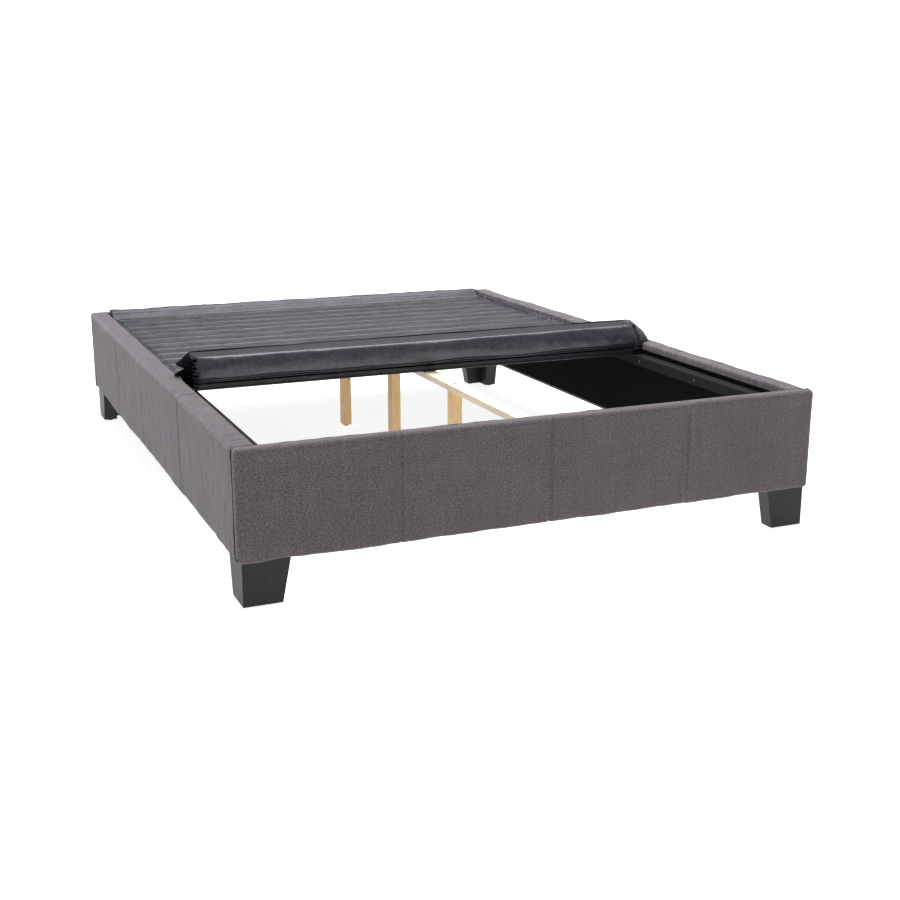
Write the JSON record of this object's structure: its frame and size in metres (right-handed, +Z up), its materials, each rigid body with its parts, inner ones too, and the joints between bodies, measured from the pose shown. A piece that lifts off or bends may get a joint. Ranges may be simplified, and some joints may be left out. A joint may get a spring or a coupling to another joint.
{
  "type": "platform bed base",
  "caption": "Upholstered platform bed base with L-shaped corner legs, centre beam and a padded vinyl slat mat whose foot part folds up in a stack.",
  "frame": {"origin": "on the floor, under the centre of the bed", "axes": "+X to the right seen from the foot, +Y from the foot to the head, +Z up"},
  "size_m": [1.63, 2.14, 0.4561],
  "materials": {
    "board": "raw",
    "upholstery": "woven, heathered",
    "lining": "matt",
    "steel": "zinc plated",
    "black_wood": "black stain, satin",
    "glide": "matt",
    "pine": "planed, unfinished",
    "slat": "planed, unfinished",
    "vinyl": "satin"
  },
  "bodies": {
    "root": {"left_board": "board", "right_board": "board", "foot_board": "board", "head_board": "board", "left_upholstery": "upholstery", "right_upholstery": "upholstery", "foot_upholstery": "upholstery", "head_upholstery": "upholstery", "left_lining": "lining", "right_lining": "lining", "foot_lining": "lining", "head_lining": "lining", "left_ledge": "lining", "right_ledge": "lining", "corner_brackets": "steel", "frame_bolts": "steel", "frame_screws": "steel", "leg_front_left": "black_wood", "leg_front_right": "black_wood", "leg_back_left": "black_wood", "leg_back_right": "black_wood", "corner_glides": "glide", "centre_beam": "pine", "beam_brackets": "steel", "centre_leg_foot": "pine", "centre_leg_middle": "pine", "centre_leg_head": "pine", "centre_glides": "glide", "mat_cover": "vinyl", "fixed_slat_1": "slat", "fixed_slat_2": "slat", "fixed_slat_3": "slat", "fixed_slat_4": "slat", "fixed_slat_5": "slat", "fixed_slat_6": "slat", "fixed_slat_7": "slat", "fixed_slat_8": "slat", "fixed_slat_9": "slat", "fixed_slat_10": "slat", "fixed_slat_11": "slat", "fixed_slat_12": "slat", "fixed_slat_13": "slat", "fixed_slat_14": "slat"},
    "fold_panel_1": {"fold_slat_1": "slat", "fold_sleeve_1": "vinyl"},
    "fold_panel_2": {"fold_slat_2": "slat", "fold_sleeve_2": "vinyl"},
    "fold_panel_3": {"fold_slat_3": "slat", "fold_sleeve_3": "vinyl"},
    "fold_panel_4": {"fold_slat_4": "slat", "fold_sleeve_4": "vinyl"},
    "fold_panel_5": {"fold_slat_5": "slat", "fold_sleeve_5": "vinyl"},
    "fold_panel_6": {"fold_slat_6": "slat", "fold_sleeve_6": "vinyl"},
    "fold_panel_7": {"fold_slat_7": "slat", "fold_sleeve_7": "vinyl"},
    "fold_panel_8": {"fold_slat_8": "slat", "fold_sleeve_8": "vinyl"},
    "foot_flap": {"foot_flap": "vinyl"}
  },
  "joints": [
    {"name": "fold_1", "type": "hinge", "parent": "root", "child": "fold_panel_1", "pos_m": [0, -0.27164, 0.3681], "axis": [1, 0, 0], "range_deg": [0, 180]},
    {"name": "fold_2", "type": "hinge", "parent": "fold_panel_1", "child": "fold_panel_2", "pos_m": [0, -0.18109, 0.3791], "axis": [-1, 0, 0], "range_deg": [0, 180]},
    {"name": "fold_3", "type": "hinge", "parent": "fold_panel_2", "child": "fold_panel_3", "pos_m": [0, -0.27164, 0.3901], "axis": [1, 0, 0], "range_deg": [0, 180]},
    {"name": "fold_4", "type": "hinge", "parent": "fold_panel_3", "child": "fold_panel_4", "pos_m": [0, -0.18109, 0.4011], "axis": [-1, 0, 0], "range_deg": [0, 180]},
    {"name": "fold_5", "type": "hinge", "parent": "fold_panel_4", "child": "fold_panel_5", "pos_m": [0, -0.27164, 0.4121], "axis": [1, 0, 0], "range_deg": [0, 180]},
    {"name": "fold_6", "type": "hinge", "parent": "fold_panel_5", "child": "fold_panel_6", "pos_m": [0, -0.18109, 0.4231], "axis": [-1, 0, 0], "range_deg": [0, 180]},
    {"name": "fold_7", "type": "hinge", "parent": "fold_panel_6", "child": "fold_panel_7", "pos_m": [0, -0.27164, 0.4341], "axis": [1, 0, 0], "range_deg": [0, 180]},
    {"name": "fold_8", "type": "hinge", "parent": "fold_panel_7", "child": "fold_panel_8", "pos_m": [0, -0.18109, 0.4451], "axis": [-1, 0, 0], "range_deg": [0, 180]},
    {"name": "flap_hinge", "type": "hinge", "parent": "fold_panel_8", "child": "foot_flap", "pos_m": [0, -0.27264, 0.4561], "axis": [-1, 0, 0], "range_deg": [0, 121]}
  ],
  "couplings": [
    {"joint": "fold_2", "follows": "fold_1", "ratio": 1},
    {"joint": "fold_3", "follows": "fold_1", "ratio": 1},
    {"joint": "fold_4", "follows": "fold_1", "ratio": 1},
    {"joint": "fold_5", "follows": "fold_1", "ratio": 1},
    {"joint": "fold_6", "follows": "fold_1", "ratio": 1},
    {"joint": "fold_7", "follows": "fold_1", "ratio": 1},
    {"joint": "fold_8", "follows": "fold_1", "ratio": 1},
    {"joint": "flap_hinge", "follows": "fold_1", "ratio": 0.67215}
  ]
}
